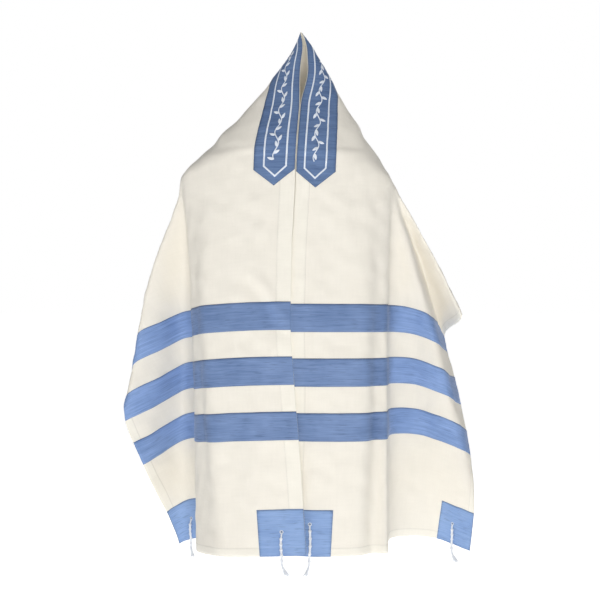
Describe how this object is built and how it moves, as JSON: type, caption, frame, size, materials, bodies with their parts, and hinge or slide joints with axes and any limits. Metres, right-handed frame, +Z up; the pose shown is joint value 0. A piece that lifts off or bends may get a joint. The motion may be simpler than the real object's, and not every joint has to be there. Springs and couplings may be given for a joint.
{
  "type": "tallit prayer shawl",
  "caption": "Striped wool prayer shawl hung from its neckband, filled out as a hollow cape, with corner squares and knotted tassels.",
  "frame": {"origin": "the peak, at the middle of the neck edge, where the shawl is held up", "axes": "+X to the right as seen from the front, +Y to the back, +Z up"},
  "size_m": [0.6903, 0.2987, 1.0483],
  "materials": {
    "wool_cloth": "cream wool in a plain weave, matt",
    "stripe_fabric": "blue slubbed silk with a soft sheen",
    "corner_fabric": "blue slubbed silk with a soft sheen",
    "neckband_fabric": "darker blue slubbed silk with satin stitched lines",
    "tassel_cord": "white twisted wool cord"
  },
  "bodies": {
    "root": {"shawl_cloth": "wool_cloth", "neckband": "neckband_fabric", "stripe_left_1": "stripe_fabric", "stripe_left_2": "stripe_fabric", "stripe_left_3": "stripe_fabric", "stripe_right_1": "stripe_fabric", "stripe_right_2": "stripe_fabric", "stripe_right_3": "stripe_fabric", "corner_left_front": "corner_fabric", "corner_left_outer": "corner_fabric", "corner_right_front": "corner_fabric", "corner_right_outer": "corner_fabric", "tassel_left_front": "tassel_cord", "tassel_left_outer": "tassel_cord", "tassel_right_front": "tassel_cord", "tassel_right_outer": "tassel_cord"}
  },
  "joints": []
}
